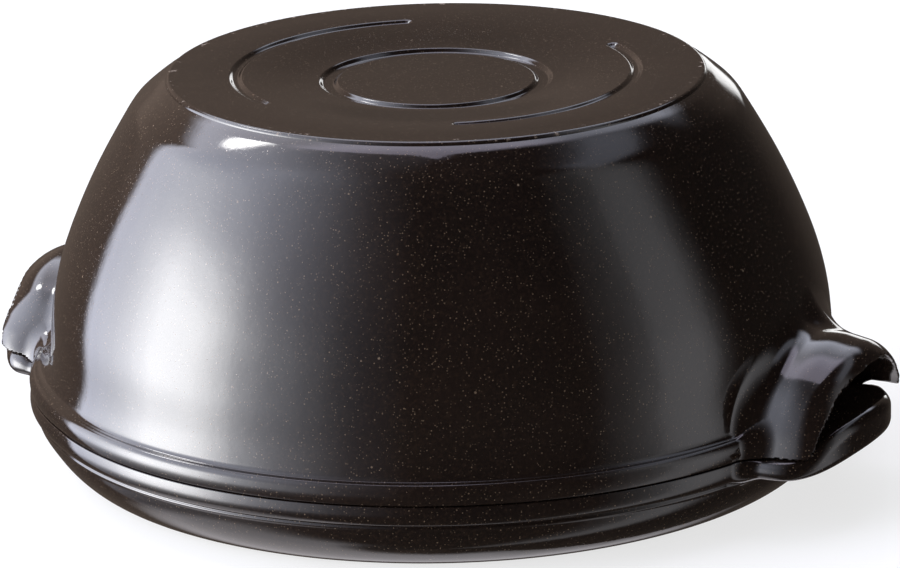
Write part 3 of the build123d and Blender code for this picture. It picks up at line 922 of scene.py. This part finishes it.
# straight above, a small bare lamp high on the left, the table and the wall behind
above = k.math("MULTIPLY", k.step(height, 56.0, 66.0), k.math("MAXIMUM", k.step(turn, 182.0, 170.0), k.step(turn, 420.0, 450.0)))
du, dv = k.math("MULTIPLY", k.math("SUBTRACT", turn, 171.0), 0.25), k.math("MULTIPLY", k.math("SUBTRACT", height, 49.5), 0.18)
bare = k.step(k.math("SQRT", k.math("ADD", k.math("MULTIPLY", du, du), k.math("MULTIPLY", dv, dv))), 1.35, 0.65)
table = k.math("MULTIPLY", k.math("MULTIPLY", k.step(turn, 70.0, 110.0), k.step(turn, 250.0, 205.0)),
               k.math("MULTIPLY", k.step(height, -38.0, -50.0), k.step(height, -80.0, -72.0)))
wall = k.math("MULTIPLY",
              along_curve(turn, [(90, 0.10), (106, 0.13), (117, 0.18), (125, 0.32), (135, 0.42), (150, 0.46), (165, 0.46), (176, 0.3), (190, 0.0), (425, 0.0), (450, 0.10)]),
              along_curve(height, [(-90, 0.2), (-25, 0.2), (-8, 0.35), (5, 0.6), (13, 1.0), (30, 1.0), (90, 0.3)]))
card = k.math("MULTIPLY", k.math("MULTIPLY", k.step(turn, 94.0, 99.0), k.step(turn, 116.0, 111.0)),
              k.math("MULTIPLY", k.step(height, -4.0, -1.0), k.step(height, 9.0, 6.0)))


def lamp(strength, power, colour):
    n = k.add("ShaderNodeVectorMath", operation="SCALE")
    n.inputs[0].default_value = colour
    k.feed(n.inputs["Scale"], k.math("MULTIPLY", strength, power))
    return n.outputs[0]


def total(a, b):
    n = k.add("ShaderNodeVectorMath", operation="ADD")
    k.feed(n.inputs[0], a)
    k.feed(n.inputs[1], b)
    return n.outputs[0]


LILAC, WHITE = (0.80, 0.84, 1.0), (1.0, 0.99, 0.97)
light = total(lamp(side_box, 6.6, LILAC), lamp(spot, 13.5, WHITE))
light = total(light, lamp(strip, 1.4, (0.95, 0.95, 1.0)))
light = total(light, lamp(slope, 1.1, LILAC))
light = total(light, lamp(above, 2.5, (0.84, 0.79, 1.0)))
light = total(light, lamp(bare, 22.0, WHITE))
light = total(light, lamp(table, 1.25, (0.97, 0.94, 1.0)))
light = total(light, lamp(wall, 0.95, (1.0, 0.76, 0.62)))
light = total(light, lamp(card, 2.4, (1.0, 1.0, 1.0)))
light = total(light, lamp(k.step(height, -90.0, 60.0, 0.06, 0.02), 1.0, (1.0, 0.85, 0.74)))
room, sky, pick = k.add("ShaderNodeBackground"), k.add("ShaderNodeBackground"), k.add("ShaderNodeMixShader")
k.feed(room.inputs[0], light)
sky.inputs[0].default_value = (1, 1, 1, 1)
k.feed(pick.inputs[0], k.add("ShaderNodeLightPath").outputs["Is Camera Ray"])
k.feed(pick.inputs[1], room.outputs[0])
k.feed(pick.inputs[2], sky.outputs[0])
k.feed(k.add("ShaderNodeOutputWorld").inputs[0], pick.outputs[0])

# ------------------------------------------------------------------ camera
cam_data = bpy.data.cameras.new("camera")
cam = bpy.data.objects.new("camera", cam_data)
bpy.context.scene.collection.objects.link(cam)
look = Vector((-0.43268329, 0.85270473, -0.29271116)).normalized()
upv = Vector((-0.11321869, 0.27071263, 0.95597918))
right = look.cross(upv).normalized()
upv = right.cross(look).normalized()
cam.matrix_world = Matrix(((right.x, upv.x, -look.x, 0.90793414), (right.y, upv.y, -look.y, -1.78192107),
                           (right.z, upv.z, -look.z, 0.67115210), (0, 0, 0, 1)))
cam_data.sensor_width = 36.0
cam_data.lens = 5956.666 * 36.0 / 900.0
cam_data.clip_start, cam_data.clip_end = 0.05, 100.0
bpy.context.scene.camera = cam
bpy.context.scene.view_settings.view_transform = "Standard"
